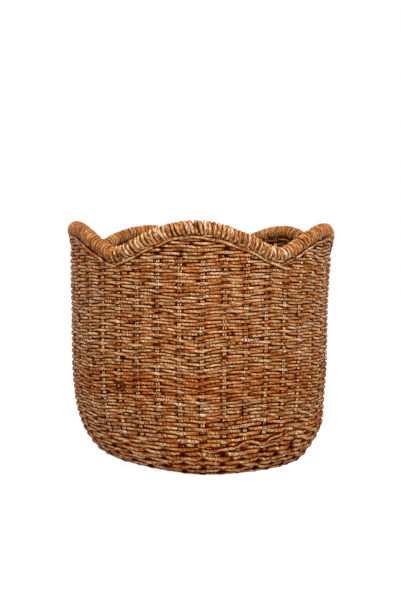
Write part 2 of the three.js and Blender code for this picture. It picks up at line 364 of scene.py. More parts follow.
def cord_rings(path, out, half_depth, half_height, along, swing, random, is_loop=False):
    """Rings of a twisted cord along a path, its points' place on the leaf and their tone, which holds the
    painted shade and highlights
    """
    if is_loop:
        ahead = unit(np.roll(path, -1, axis=0) - np.roll(path, 1, axis=0))
    else:
        ahead = unit(np.gradient(path, axis=0))
    up = unit(np.cross(out, ahead))
    out = np.cross(ahead, up)
    length = along - along[0]
    neck = np.zeros_like(length) if is_loop else necks(length, random)
    size = cord_size(length, neck, random, is_loop)
    turn = full_turn(CORD_POINTS)
    spin = turn[None, :] - cord_twist(length, random, is_loop)[:, None]
    lobes = np.cos(PLIES * spin)
    crumple = CRUMPLE_SHARE * wander(length, CRUMPLE_LENGTH, random, (CORD_POINTS,))
    if is_loop:
        crumple = np.zeros_like(crumple)
    swell = size[:, None] * (1 + LOBE_SHARE * lobes + crumple)
    rings = path[:, None, :] \
        + out[:, None, :] * (swell * half_depth[:, None] * np.cos(turn))[..., None] \
        + up[:, None, :] * (swell * half_height[:, None] * np.sin(turn))[..., None]
    leaf = stacked(along[:, None], np.cos(spin), np.sin(spin))
    return rings, leaf, cord_painted_light_and_necks(length, turn, lobes, swing, neck, random)


def add_cord(tubes, path, out, share, along, extra_tone, random, is_loop=False):
    """Adds a cord that is a share of the rows' size all along"""
    count = len(path)
    rings, leaf, tone = cord_rings(
        path, out, np.full(count, share * CORD_HALF_DEPTH), np.full(count, share * CORD_HALF_HEIGHT),
        along, np.zeros(count), random, is_loop)
    tubes.add(rings, leaf, tone + extra_tone, is_loop)


def path_length(path):
    return np.concatenate([[0], np.cumsum(np.linalg.norm(np.diff(path, axis=0), axis=1))])


# Rows of weave round the wall: one cord that climbs in a spiral, in front of every other stake
STEPS_PER_TURN = 546
ROW_PITCH = 5 * MM
FOOT_PITCH = 6.6 * MM
FOOT_ROWS_TOP = 62 * MM
FOOT_ROWS_BLEND = 50 * MM
FOOT_FULLNESS_SHARE = 0.1
BACK_FULLNESS_SHARES = (0.3, -0.2)
ROW_OUT = 2.4 * MM
FRONT_SWING = 2.9 * MM
BACK_SWING = 4.8 * MM
SWING_POWER = 9
BACK_SWING_POWERS = (7.2, 5.6)
FOOT_SWING_POWER = 3
CORD_HALF_DEPTH = 2.7 * MM
CORD_HALF_HEIGHT = 2.9 * MM
CROSSING_HALF_DEPTH = 1.8 * MM
CROSSING_HALF_HEIGHT = 3.35 * MM
COVERING_HALF_HEIGHT = 4.6 * MM
COVERING_HALF_DEPTH = 2.6 * MM
COVERING_OUT = 0.7 * MM
COVERING_TOP = 76 * MM
COVERING_BLEND = 24 * MM
TOP_COVERING_START = 4 * MM
TOP_COVERING_BLEND = 9 * MM
TOP_CALM_SHARE = 0.6
FOOT_CALM_SHARE = 0.65
FOOT_CALM_TOP = 64 * MM
FOOT_CALM_BLEND = 26 * MM
FOOT_HALF_HEIGHT = 2.75 * MM
FOOT_WAVE = 0.8 * MM
TIGHTEST_SHARE = 0.9
TIGHTNESS_LENGTH = 60 * MM
DROOP = 1.5 * MM
DROOP_START = 255 * MM
DROOP_LEVEL_SHARE = 0.64
TOP_DROOP = 11 * MM
RIGHT_RISE = 6.5 * MM
LEFT_RISE = 4 * MM
RISE_START = 30 * MM
RISE_BLEND = 60 * MM
RISE_SIDE_SHARE = 0.9
ROW_WANDER = 0.6 * MM
ROW_WANDER_LENGTH = 55 * MM
SAG = 1.1 * MM
SAG_WAVES = (4, 6, 8, 10, 12, 14, 16)
SAG_HEIGHT = 34 * MM
ROWS_PAST_TOP = 2
TUCK = 6 * MM
MOST_ROWS_PER_PIECE = 12


def row_pitch(distance):
    height = wall_place(distance)[1]
    share = eased((height - FOOT_ROWS_TOP) / FOOT_ROWS_BLEND)
    return blend(FOOT_PITCH, ROW_PITCH, share)


def row_droop(angle, height):
    """How far a row is lifted or lowered to follow the rim's humps"""
    share = eased((height - DROOP_START) / (LEVEL_TOP - DROOP_START))
    top_share = np.clip((height - LEVEL_TOP) / SCALLOP_RISE, 0, 1)
    return (DROOP * share + TOP_DROOP * top_share) * (hump_share(angle) - DROOP_LEVEL_SHARE)


def row_rise(angle, height):
    """How far the rows climb towards the sides, more on the viewer's right"""
    side = np.sin(angle)
    hill = np.sin(math.pi * np.clip(np.abs(side) / RISE_SIDE_SHARE, 0, 1))
    share = eased((height - RISE_START) / RISE_BLEND)
    return np.where(side > 0, RIGHT_RISE, LEFT_RISE) * hill * share


def row_sag(angle, height):
    """Slow waves that neighbouring rows share"""
    random = np.random.default_rng(ROW_SAG_SEED)
    total = np.zeros_like(angle)
    for waves in SAG_WAVES:
        phase = random.uniform(0, TURN)
        climb = random.uniform(-1, 1) / SAG_HEIGHT
        total += np.sin(waves * angle + climb * height + phase)
    return SAG * total / math.sqrt(len(SAG_WAVES))


def top_covering(height):
    """One close under the rim, where rows cover the canes, and zero below"""
    return eased((height - LEVEL_TOP - TOP_COVERING_START) / TOP_COVERING_BLEND)


def foot_calm(height):
    """One low on the foot, where rows run on evenly, and zero above"""
    return eased((FOOT_CALM_TOP - height) / FOOT_CALM_BLEND)


def spiral():
    """Angles and distances along the profile of the whole cord, at even steps of angle"""
    starts = [STAKE_ROOT_RADIUS]
    last = distance_at_height(RIM_PEAK_HEIGHT - RIM_SIZE / 2) + ROWS_PAST_TOP * ROW_PITCH
    while starts[-1] < last:
        starts.append(starts[-1] + row_pitch(starts[-1]))
    turns = np.arange(len(starts))
    place = np.arange((len(starts) - 1) * STEPS_PER_TURN) / STEPS_PER_TURN
    return place * TURN, np.interp(place, turns, starts)


def row_swing(angle, radius, height, wave):
    """How far the cord is in front of the stakes, up to 1, or behind them, down to -1"""
    sharpness = np.interp(radius, (FOOT_RADIUS, BELLY_RADIUS), (FOOT_SWING_POWER, SWING_POWER))
    back_power = blend(*BACK_SWING_POWERS, np.sin(angle) ** 2)
    sharpness = np.where(wave < 0, np.minimum(sharpness, back_power), sharpness)
    swing = np.sign(wave) * np.abs(wave) ** sharpness
    top_loss = TOP_CALM_SHARE * top_covering(height)
    foot_loss = FOOT_CALM_SHARE * foot_calm(height) * (swing < 0)
    return swing * (1 - top_loss - foot_loss)


def row_section(distance, height, swing, covering, tight):
    """Half the cord's depth and height: flatter and taller where it crosses a stake"""
    pitch = row_pitch(distance)
    foot_share = (pitch - ROW_PITCH) / (FOOT_PITCH - ROW_PITCH)
    size = pitch / ROW_PITCH * (1 + FOOT_FULLNESS_SHARE * foot_share)
    crossing = np.maximum(swing, 0)
    tallest = blend(CROSSING_HALF_HEIGHT, COVERING_HALF_HEIGHT, tight)
    half_height = size * blend(CORD_HALF_HEIGHT, tallest, crossing)
    fullness = BACK_FULLNESS_SHARES[0] * foot_share + BACK_FULLNESS_SHARES[1] * (1 - foot_share)
    half_height = half_height * (1 + fullness * np.maximum(-swing, 0))
    half_height = blend(half_height, FOOT_HALF_HEIGHT * size, foot_calm(height))
    thinnest = blend(CROSSING_HALF_DEPTH, COVERING_HALF_DEPTH, covering)
    return blend(CORD_HALF_DEPTH, thinnest, crossing), half_height


def row_cord():
    """The angles of the rows' cord, where it is under the rim, and what its rings need"""
    random = np.random.default_rng(ROW_PATH_SEED)
    angle, distance = spiral()
    radius, level, normal_out, normal_up = wall(distance)
    wave = np.cos(STAKE_COUNT / 2 * (angle - math.radians(FIRST_STAKE_DEGREES)))
    swing = row_swing(angle, radius, level, wave)
    length = radius * angle
    stray = ROW_WANDER * wander(length, ROW_WANDER_LENGTH, random) + row_sag(angle, level)
    stray = stray + FOOT_WAVE * foot_calm(level) * (2 * wave ** 2 - 1)
    tight = TIGHTEST_SHARE * (1 + wander(length, TIGHTNESS_LENGTH, random)) / 2
    covering = np.maximum(eased((COVERING_TOP - level) / COVERING_BLEND), top_covering(level))
    front_swing = FRONT_SWING - COVERING_OUT * covering
    shift = ROW_OUT + COVERING_OUT * covering + np.where(swing > 0, front_swing, BACK_SWING) * swing
    height = level + row_droop(angle, level) + row_rise(angle, level)
    radius = radius + normal_out * shift - normal_up * stray
    height = height + normal_up * shift + normal_out * stray
    path = around(radius, angle, height)
    out = around(normal_out, angle, normal_up)
    section = row_section(distance, level, swing, covering, np.maximum(tight, covering))
    is_there = height < rim_height(angle) - RIM_SIZE / 2 + TUCK
    return angle, is_there, (path, out, *section, path_length(path), swing)


def runs(is_there):
    """First and last indices of the stretches where a condition holds"""
    edges = np.flatnonzero(np.diff(is_there.astype(int), prepend=0, append=0))
    return zip(edges[::2], edges[1::2])


def add_row(tubes, cord, first, last, random):
    tubes.add(*cord_rings(*[values[first:last] for values in cord], random))


def hump_of(angle):
    valleys = valley_angles()
    wrapped = np.mod(angle - valleys[0], TURN) + valleys[0]
    return int(np.searchsorted(valleys, wrapped, side="right") - 1) % HUMP_COUNT


def build_rows(material):
    """The level rows in pieces of some rows each, and the short rows of each hump"""
    angle, is_there, cord = row_cord()
    random = np.random.default_rng(ROW_CORD_SEED)
    short = [Tubes() for _ in range(HUMP_COUNT)]
    piece = 0
    for first, last in runs(is_there):
        if last - first < STEPS_PER_TURN:
            hump = hump_of(angle[(first + last) // 2])
            add_row(short[hump], cord, first, last, random)
            continue
        pieces = math.ceil((last - first) / STEPS_PER_TURN / MOST_ROWS_PER_PIECE)
        cuts = np.linspace(first, last, pieces + 1).astype(int)
        for start, end in zip(cuts[:-1], cuts[1:]):
            tubes = Tubes()
            add_row(tubes, cord, start, end, random)
            tubes.finish(numbered("weave_rows", piece), material, "weave", *WALL_NODES)
            piece += 1
    for hump, tubes in enumerate(short):
        tubes.finish(numbered("short_rows", hump), material, "weave", HUMP_NODES[hump])


# Base rings: closed rings of the same cord round the fanned base canes
BASE_CANE_SIZE = 3.8 * MM
BASE_CANE_GAP = 1.2 * MM
BASE_CANES_PER_SET = 5
BASE_LAYER_GAP = 0.35 * MM
HUB_MARGIN = 3 * MM
BASE_SWING = 2.8 * MM
BASE_CORD_SHARE = 1.15
BASE_SPREAD = math.pi / 2 / BASE_CANES_PER_SET
BASE_CANE_PITCH = BASE_CANE_SIZE + BASE_CANE_GAP
HUB_HALF_WIDTH = (BASE_CANES_PER_SET - 1) / 2 * BASE_CANE_PITCH + BASE_CANE_SIZE / 2 + HUB_MARGIN
BASE_CANE_REACH = STAKE_ROOT_RADIUS - CORD_SIZE
RING_STEP = 2.5 * MM
RING_LEAF_STEP = 1000 * MM


def add_base_ring(tubes, radius, number, random):
    """A closed ring that goes over and under the canes, the other way from its neighbours"""
    steps = int(TURN * radius / RING_STEP)
    angle = full_turn(steps)
    swing = np.cos(2 * BASE_CANES_PER_SET * angle + math.pi * number)
    path = around(radius, angle, BASE_MIDDLE + BASE_SWING * swing)
    out = np.tile([0, 0, -1], (steps, 1))
    along = angle * radius + number * RING_LEAF_STEP
    rings, leaf, tone = cord_rings(
        path, out, np.full(steps, CORD_HALF_DEPTH), np.full(steps, BASE_CORD_SHARE * CORD_HALF_HEIGHT),
        along, -swing, random, is_loop=True)
    tubes.add(rings, leaf, tone, is_loop=True)


def build_base_rings(material):
    random = np.random.default_rng(BASE_RING_SEED)
    tubes = Tubes()
    radii = np.arange(HUB_HALF_WIDTH + CORD_SIZE / 2, STAKE_ROOT_RADIUS, ROW_PITCH)
    for number, radius in enumerate(radii):
        add_base_ring(tubes, radius, number, random)
    tubes.finish("base_rings", material, "weave", "base_weave")


# Canes: round rods for the stakes and the base
CANE_POINTS = 8
CANE_STEP = 5 * MM
CANE_OUT = 2.4 * MM
CANE_PAIR_SPREAD = 3.3 * MM
CANE_SEEN_SHARE = 0.88
CANE_TOP_SINK = 3.2 * MM
CANE_FOOT_SINK = 1.8 * MM
CANE_WOBBLE = 0.35 * MM
CANE_WOBBLE_LENGTH = 45 * MM
UPRIGHT_SHARE = 0.2


def add_cane(tubes, path, size, random):
    length = path_length(path)
    ahead = unit(np.gradient(path, axis=0))
    side = np.cross(ahead, [0, 0, 1])
    is_upright = np.linalg.norm(side, axis=1) < UPRIGHT_SHARE
    side[is_upright] = np.cross(ahead[is_upright], unit(path[is_upright] * [1, 1, 0]))
    side = unit(side)
    up = np.cross(side, ahead)
    turn = full_turn(CANE_POINTS)
    rings = path[:, None, :] + size / 2 * (
        side[:, None, :] * np.cos(turn)[None, :, None] + up[:, None, :] * np.sin(turn)[None, :, None])
    start = random.uniform(0, LEAF_START_SPAN)
    tubes.add(rings, stacked((start + length)[:, None], np.cos(turn), np.sin(turn)), 0)


def build_stake(number, material):
    """A pair of canes side by side from the base up to the rim's rod"""
    random = np.random.default_rng(STAKE_SEED + number)
    angle = math.radians(FIRST_STAKE_DEGREES) + number * TURN / STAKE_COUNT
    top = rim_height(angle) - ROD_SIZE / 2
    last = distance_at_height(top)
    distance = np.linspace(STAKE_ROOT_RADIUS, last, int((last - STAKE_ROOT_RADIUS) / CANE_STEP))
    radius, height, normal_out, normal_up = wall(distance)
    cane_out = CANE_OUT - CANE_TOP_SINK * top_covering(height) - CANE_FOOT_SINK * foot_calm(height)
    radius = radius + cane_out * normal_out
    height = height + cane_out * normal_up
    tubes = Tubes()
    sideways = around(1, angle + math.pi / 2, 0)
    for side in (-1, 1):
        offset = side * CANE_PAIR_SPREAD / 2
        offset = offset + CANE_WOBBLE * wander(distance, CANE_WOBBLE_LENGTH, random)
        path = around(radius, angle, height) + sideways * offset[:, None]
        add_cane(tubes, path, CANE_SEEN_SHARE * CANE_SIZE, random)
    tubes.finish(numbered("stake_canes", number), material, "stake_cane", numbered("stake", number))


def build_base_cane(number, material):
    """A cane of one of the two crossed sets, side by side over the hub and then fanned out"""
    random = np.random.default_rng(BASE_CANE_SEED + number)
    is_upper, place = divmod(number, BASE_CANES_PER_SET)
    place -= (BASE_CANES_PER_SET - 1) / 2
    fan = place * BASE_SPREAD
    end = BASE_CANE_REACH * np.array([math.cos(fan), math.sin(fan)])
    bend = np.array([HUB_HALF_WIDTH, place * BASE_CANE_PITCH])
    corners = np.array([end * [-1, 1], bend * [-1, 1], bend, end])
    length = path_length(corners)
    place = np.linspace(0, length[-1], int(length[-1] / CANE_STEP))
    layer = (BASE_CANE_SIZE + BASE_LAYER_GAP) / 2
    height = BASE_MIDDLE + (layer if is_upper else -layer)
    along = np.interp(place, length, corners[:, 0])
    across = np.interp(place, length, corners[:, 1])
    path = stacked(-across, along, height) if is_upper else stacked(along, across, height)
    tubes = Tubes()
    add_cane(tubes, path, BASE_CANE_SIZE, random)
    tubes.finish(numbered("base_cane", number), material, "base_cane", numbered("base_stick", number))


# Painted shade within the wall: a thin dark sheet behind the canes that stands for the shade in the gaps
# between the rows
CORE_STEPS_PER_STAKE = 6
CORE_STEPS_UP = 100
CORE_THICKNESS = 0.4 * MM
CORE_BEHIND = 0.4 * MM
CORE_PAINTED_SHADE = 1.8


def build_shade_sheet(material):
    """A closed sheet from the hub to the rim, with an outer and an inner side"""
    angle = full_turn(CORE_STEPS_PER_STAKE * STAKE_COUNT)[:, None]
    top = rim_height(angle) - RIM_SIZE / 2
    last = distance_at_height(top - row_droop(angle, top) - row_rise(angle, top))
    climb = np.linspace(0, 1, CORE_STEPS_UP)
    share = np.concatenate([climb, climb[::-1]])
    side = np.repeat([1, -1], CORE_STEPS_UP)
    distance = HUB_HALF_WIDTH + share * (last - HUB_HALF_WIDTH)
    radius, height, normal_out, normal_up = wall(distance)
    shift = CANE_OUT - CORE_BEHIND + side * CORE_THICKNESS / 2
    height = height + row_droop(angle, height) + row_rise(angle, height)
    rings = around(radius + shift * normal_out, angle, height + shift * normal_up)
    leaf = stacked(angle * BELLY_RADIUS, distance / CORD_SIZE, 0)
    tubes = Tubes()
    tubes.add(rings, leaf, CORE_PAINTED_SHADE, is_loop=True)
    tubes.finish("painted_shade_sheet", material, "weave", *WALL_NODES, *HUMP_NODES)


# Rim wrap: crowned leaf strips round the rod, side by side
STRIP_PITCH = 6.8 * MM
STRIP_STEPS = 30
STRIP_ACROSS = 9
STRIP_CROWN = 2.4 * MM
STRIP_THICKNESS = 1.2 * MM
STRIP_LEAN = 2 * MM
STRIP_FOLD = 0.9 * MM
STRIP_SHIFT = 0.6 * MM
STRIP_LEAN_SHARES = (0.2, 1.5)
STRIP_SINK_SHARES = (-1, 0.4)
STRIP_WIDTH_SHARES = (0.84, 1.16)
STRIP_SWELL_SHARE = 0.12
STRIP_SWELL_WAVES = 2
STRIP_INNER_SHARE = 0.8
CROWN_SHARE = 0.85
CROWN_EDGE_SHARE = 0.96
FOLD_PLACE_SHARE = 0.5
FOLD_SWAY_SHARE = 0.35
FOLD_LEAST_SHARE = 0.3
FOLD_WIDTH_SHARE = 0.28
FOLD_WAVE_SHARES = (0.6, 0.4)
FOLD_WAVES = 3
LOOSE_DEGREES = 15
LOOSE_SPAN_DEGREES = 7
LOOSE_SHARE = 1.6
# Painted light on the strips: painted shade towards their edges and low places, a painted highlight on
# their crowns, stronger on some humps than others
STRIP_CROWN_PAINTED_LIGHT = 1.5
STRIP_TONES = (0.05, 0.45)
STRIP_VARIETY = (0.04, 0.04, 0.5, 0.2, 0.04)
STRIP_VARIETY_START = 2000 * MM
STRIP_PAINTED_LIGHT_SHARES = (0.5, 0.6, 0.85, 0.7, 0.5)
STRIP_MOTTLE_SHARES = (0.2, 0.3, 0.75, 0.5, 0.2)
STRIP_MOTTLE_LENGTH = 5 * MM
SPOT_PLACES = ((-29.6, 50), (-2.2, 15))
SPOT_SPAN_DEGREES = 22
SPOT_TONE = 1.3
RIM_LINE_STEPS = 4000
RIM_NUDGE = TURN / RIM_LINE_STEPS


def rim_frame(angle):
    """Place on the rim's middle line, with its directions along, outwards and upwards"""
    place = around(RIM_RADIUS, angle, rim_height(angle))
    along = unit(around(RIM_RADIUS, angle + RIM_NUDGE, rim_height(angle + RIM_NUDGE)) - place)
    out = around(1, angle, 0)
    return place, along, out, np.cross(out, along)


def strip_angles():
    """Angles of the strips, evenly spaced along the rim's line"""
    start = valley_angles()[0]
    angle = start + np.arange(RIM_LINE_STEPS + 1) * TURN / RIM_LINE_STEPS
    length = path_length(around(RIM_RADIUS, angle, rim_height(angle)))
    count = round(length[-1] / STRIP_PITCH)
    return np.interp(np.arange(count) * length[-1] / count, length, angle)


def looseness(angle):
    """One for tight strips and more where the wrap was wound loosely"""
    away = (angle - math.radians(LOOSE_DEGREES)) / math.radians(LOOSE_SPAN_DEGREES)
    return 1 + LOOSE_SHARE * math.exp(-away ** 2)


def spots(angle, turn):
    """One at the dark leaf spots on some strips, zero elsewhere"""
    total = np.zeros_like(turn)
    for degrees, turn_degrees in SPOT_PLACES:
        is_here = abs(angle - math.radians(degrees)) < STRIP_PITCH / 2 / RIM_RADIUS
        away = (turn - math.radians(turn_degrees)) / math.radians(SPOT_SPAN_DEGREES)
        total += is_here * np.exp(-away ** 2)
    return total


def strip_shape(turn, across, loose, random):
    """Heights over the rod's middle and places along it, with what the leaf's marks need"""
    fold_phase, swell_phase, bend_phase, wave_phase, leaf_phase, _ = random.uniform(0, TURN, 6)
    fold_middle = random.uniform(-FOLD_PLACE_SHARE, FOLD_PLACE_SHARE)
    fold_middle = fold_middle + FOLD_SWAY_SHARE * np.sin(turn + fold_phase)
    fold_size = STRIP_FOLD * random.uniform(FOLD_LEAST_SHARE, 1)
    swell = 1 + STRIP_SWELL_SHARE * np.sin(STRIP_SWELL_WAVES * turn + swell_phase)
    width = STRIP_PITCH / 2 * random.uniform(*STRIP_WIDTH_SHARES) * swell
    base = RIM_SIZE / 2 - STRIP_CROWN + STRIP_SHIFT * random.uniform(*STRIP_SINK_SHARES) * loose
    crown = STRIP_CROWN * np.sqrt(1 - CROWN_EDGE_SHARE * across ** 2)
    fold = np.exp(-((across[None, :] - fold_middle[:, None]) / FOLD_WIDTH_SHARE) ** 2)
    fold_wave = FOLD_WAVE_SHARES[0] + FOLD_WAVE_SHARES[1] * np.sin(FOLD_WAVES * turn + wave_phase)
    height = base + crown[None, :] * CROWN_SHARE + fold_size * fold * fold_wave[:, None]
    shift = -STRIP_LEAN * random.uniform(*STRIP_LEAN_SHARES) * np.sin(turn)
    shift = shift + STRIP_SHIFT * loose * np.sin(turn + bend_phase)
    inner_height = np.full((len(turn), 2), base - STRIP_THICKNESS)
    edges = np.concatenate([across, [STRIP_INNER_SHARE, -STRIP_INNER_SHARE]])
    sideways = shift[:, None] + width[:, None] * edges[None, :]
    return np.concatenate([height, inner_height], axis=1), sideways, base, leaf_phase


def add_strip(tubes, angle, hump, random):
    place, along, out, up = rim_frame(angle)
    turn = full_turn(STRIP_STEPS)
    across = np.linspace(-1, 1, STRIP_ACROSS)
    height, sideways, base, leaf_phase = strip_shape(turn, across, looseness(angle), random)
    spoke = out * np.cos(turn)[:, None] + up * np.sin(turn)[:, None]
    rings = place + spoke[:, None, :] * height[..., None] + along * sideways[..., None]
    length = turn * RIM_SIZE / 2
    start = STRIP_VARIETY_START + random.uniform(0, LEAF_START_SPAN) * STRIP_VARIETY[hump]
    slow_wave = np.cos(turn + leaf_phase)[:, None]
    leaf = stacked((start + length)[:, None], sideways / STRIP_PITCH * 2, slow_wave)
    # Painted shade towards the strip's edges and a painted highlight on its crown, then each strip's own
    # random tone, mottle and dark spots
    tone = 1 - STRIP_CROWN_PAINTED_LIGHT * np.clip((height - base) / STRIP_CROWN, 0, 1)
    tone = tone * STRIP_PAINTED_LIGHT_SHARES[hump] + random.uniform(*STRIP_TONES)
    mottle = wander(length, STRIP_MOTTLE_LENGTH, random, (height.shape[1],))
    tone = tone + STRIP_MOTTLE_SHARES[hump] * mottle + SPOT_TONE * spots(angle, turn)[:, None]
    tubes.add(rings[:, ::-1], leaf[:, ::-1], tone[:, ::-1], is_loop=True)


def build_strips(material):
    random = np.random.default_rng(STRIP_SEED)
    wraps = [Tubes() for _ in range(HUMP_COUNT)]
    for angle in strip_angles():
        hump = hump_of(angle)
        add_strip(wraps[hump], angle, hump, random)
    for hump, tubes in enumerate(wraps):
        tubes.finish(numbered("rim_strips", hump), material, "rim_wrap", "rim_wrap")


# Edge cords: one along each hump's underside, outside and inside, crossing the next at the valleys
EDGE_CORD_SHARE = 1.08
EDGE_OUT = 5.8 * MM
EDGE_DROP = 15 * MM
EDGE_OVERLAP = 12 * MM
EDGE_STEP = 2.5 * MM
# The inside cord is painted darker: painted shade inside the basket
EDGE_INSIDE_PAINTED_SHADE = 0.4
EDGE_WANDER = 1.9 * MM
EDGE_WANDER_LENGTH = 30 * MM
EDGE_CROSSING_SHARE = 0.8


def add_edge_cord(tubes, hump, side, random):
    """A cord under one hump, outside or inside, that runs straight on past both valleys"""
    overlap = EDGE_OVERLAP / RIM_RADIUS
    first, last = valley_angles()[hump:hump + 2]
    angle = np.linspace(first - overlap, last + overlap, int((last - first) * RIM_RADIUS / EDGE_STEP))
    inside = np.clip(angle, first + overlap, last - overlap)
    slope = (rim_height(inside + RIM_NUDGE) - rim_height(inside - RIM_NUDGE)) / (2 * RIM_NUDGE)
    height = rim_height(inside) + slope * (angle - inside) - EDGE_DROP
    height = height + EDGE_WANDER * wander((angle - angle[0]) * RIM_RADIUS, EDGE_WANDER_LENGTH, random)
    past = np.abs(angle - inside) / (2 * overlap)
    radius = RIM_RADIUS + side * EDGE_OUT * (1 - EDGE_CROSSING_SHARE * eased(past))
    path = around(radius, angle, height)
    along = path_length(path) + random.uniform(0, LEAF_START_SPAN)
    extra_tone = EDGE_INSIDE_PAINTED_SHADE if side < 0 else 0
    add_cord(tubes, path, around(side, angle, 0), EDGE_CORD_SHARE, along, extra_tone, random)


def build_edge_cords(material):
    random = np.random.default_rng(EDGE_CORD_SEED)
    for hump in range(HUMP_COUNT):
        tubes = Tubes()
        for side in (-1, 1):
            add_edge_cord(tubes, hump, side, random)
        tubes.finish(numbered("edge_cords", hump), material, "weave", HUMP_NODES[hump])


# A loose cord that waves over the foot, a thin dark cord under it that is its painted shadow, and a small
# knot on the left
STRAY_DEGREES = (0.3, 6, 13.5, 21.5, 28.5, 33, 41)
STRAY_HEIGHTS = (48 * MM, 47 * MM, 51 * MM, 60 * MM, 55 * MM, 63 * MM, 70 * MM)
STRAY_OUT = 5.5 * MM
STRAY_STEP = 2 * MM
STRAY_SHARE = 1.3
STRAY_TONE = 0.05
PAINTED_SHADOW_DROP = 5 * MM
PAINTED_SHADOW_OUT = 4.5 * MM
PAINTED_SHADOW_SHARE = 0.6
PAINTED_SHADOW_TONE = 1.8
KNOT_DEGREES = -34
KNOT_HEIGHT = 144 * MM
KNOT_SIZES = (6 * MM, 4 * MM)
KNOT_OUT = 6.5 * MM
KNOT_CORD_SHARE = 0.6
KNOT_TONE = 0.7
KNOT_STEPS = 24


def surface_path(angle, height, out_by):
    """Path over the wall at angles and heights, with the direction away from the wall"""
    radius, height, normal_out, normal_up = wall(distance_at_height(height))
    path = around(radius + out_by * normal_out, angle, height + out_by * normal_up)
    return path, around(normal_out, angle, normal_up)


def build_stray_cord(material):
    random = np.random.default_rng(STRAY_SEED)
    knots = np.radians(STRAY_DEGREES)
    angle = np.arange(knots[0], knots[-1], STRAY_STEP / FOOT_RADIUS)
    place = np.interp(angle, knots, np.arange(len(knots)))
    index = np.minimum(place.astype(int), len(knots) - 2)
    heights = np.array(STRAY_HEIGHTS)
    height = blend(heights[index], heights[index + 1], eased(place - index))
    tubes = Tubes()
    # The second cord is the loose cord's painted shadow
    for drop, out_by, share, extra_tone in (
            (0, STRAY_OUT, STRAY_SHARE, STRAY_TONE), (PAINTED_SHADOW_DROP, PAINTED_SHADOW_OUT, PAINTED_SHADOW_SHARE, PAINTED_SHADOW_TONE)):
        path, out = surface_path(angle, height - drop, out_by)
        add_cord(tubes, path, out, share, path_length(path), extra_tone, random)
    tubes.finish("stray_cord", material, "weave", "foot_weave")


def build_knot(material):
    random = np.random.default_rng(KNOT_SEED)
    tubes = Tubes()
    turn = full_turn(KNOT_STEPS)
    for side, size in zip((-1, 1), KNOT_SIZES):
        middle = math.radians(KNOT_DEGREES) + side * size / 2 / BELLY_RADIUS
        angle = middle + size * np.cos(turn) / BELLY_RADIUS
        path, out = surface_path(angle, KNOT_HEIGHT + size * np.sin(turn), KNOT_OUT)
        add_cord(tubes, path, out, KNOT_CORD_SHARE, size * turn, KNOT_TONE, random, is_loop=True)
    tubes.finish("knot", material, "weave", "side_weave")


# Materials, and the curve of screen values
SCREEN_WHITE = 255
SCREEN_KNEE = 0.04045
SCREEN_SLOPE = 12.92
SCREEN_OFFSET = 0.055
SCREEN_POWER = 2.4


def from_screen(value):
    share = value / SCREEN_WHITE
    if share <= SCREEN_KNEE:
        return share / SCREEN_SLOPE
    return ((share + SCREEN_OFFSET) / (1 + SCREEN_OFFSET)) ** SCREEN_POWER


def linear(red, green, blue):
    """A colour written as screen values from 0 to 255"""
    return *map(from_screen, (red, green, blue)), 1


LEAF_ORANGE = linear(168, 107, 50)
LEAF_TAN = linear(166, 121, 77)
LEAF_DARK = linear(90, 40, 6)
CANE_PALE = linear(238, 194, 142)
CANE_DEEP = linear(206, 148, 90)
ROD_COLOR = linear(150, 100, 60)
WHITE = (1, 1, 1, 1)

# Sheens are roughness and specular level, and bumps are depth and strength
LEAF_SHEEN = (0.65, 0.03)
CANE_SHEEN = (0.5, 0.15)
ROD_SHEEN = (0.6, 0.3)
LEAF_BUMP = (1.5 * MM, 0.9)
CANE_BUMP = (0.3 * MM, 0.5)


def fill(tree, node, inputs):
    """Puts a value or a link on each input that is given"""
    for key, value in inputs.items():
        if isinstance(value, bpy.types.NodeSocket):
            tree.links.new(value, node.inputs[key])
        else:
            node.inputs[key].default_value = value


def add_node(tree, kind, inputs, **settings):
    made = tree.nodes.new(kind)
    for key, value in settings.items():
        setattr(made, key, value)
    fill(tree, made, inputs)
    return made


class Look:
    """A node material, with short ways to add nodes to it"""

    def __init__(self, name, roughness, specular):
        self.material = bpy.data.materials.new(name)
        self.material.use_nodes = True
        self.tree = self.material.node_tree
        self.shader = self.tree.nodes["Principled BSDF"]
        self.surface({"Roughness": roughness, "Specular IOR Level": specular})

    def surface(self, inputs):
        fill(self.tree, self.shader, inputs)

    def node(self, kind, inputs, **settings):
        return add_node(self.tree, kind, inputs, **settings)

    def attribute(self, label, output):
        return self.node("ShaderNodeAttribute", {}, attribute_name=label).outputs[output]

    def noise(self, vector, waves, inputs):
        stretched = self.node("ShaderNodeVectorMath", {0: vector, 1: waves}, operation="MULTIPLY")
        inputs = {"Vector": stretched.outputs[0], "Scale": 1, **inputs}
        return self.node("ShaderNodeTexNoise", inputs).outputs["Fac"]

    def math(self, operation, first, second=0):
        return self.node("ShaderNodeMath", {0: first, 1: second}, operation=operation).outputs[0]

    def plus(self, total, value, share):
        return self.math("ADD", total, self.math("MULTIPLY", value, share))

    def spread(self, value, low, high, new_low, new_high):
        """Maps a range of a value to a new one, and clips it there"""
        inputs = {"Value": value, "From Min": low, "From Max": high, "To Min": new_low, "To Max": new_high}
        return self.node("ShaderNodeMapRange", inputs, clamp=True).outputs["Result"]

    def mixed(self, share, first, second):
        return self.node("ShaderNodeMix", {0: share, 6: first, 7: second}, data_type="RGBA").outputs[2]

    def ramp(self, value, span, colors):
        made = self.node("ShaderNodeValToRGB", {"Fac": value})
        for element, place, color in zip(made.color_ramp.elements, span, colors):
            element.position = place
            element.color = color
        return made.outputs["Color"]

    def power(self, color, exponent):
        """Paler below one and deeper above it, and more vivid the deeper it is"""
        return self.node("ShaderNodeGamma", {"Color": color, "Gamma": exponent}).outputs["Color"]

    def bump(self, height, depth, strength):
        inputs = {"Height": height, "Distance": depth, "Strength": strength}
        self.surface({"Normal": self.node("ShaderNodeBump", inputs).outputs["Normal"]})


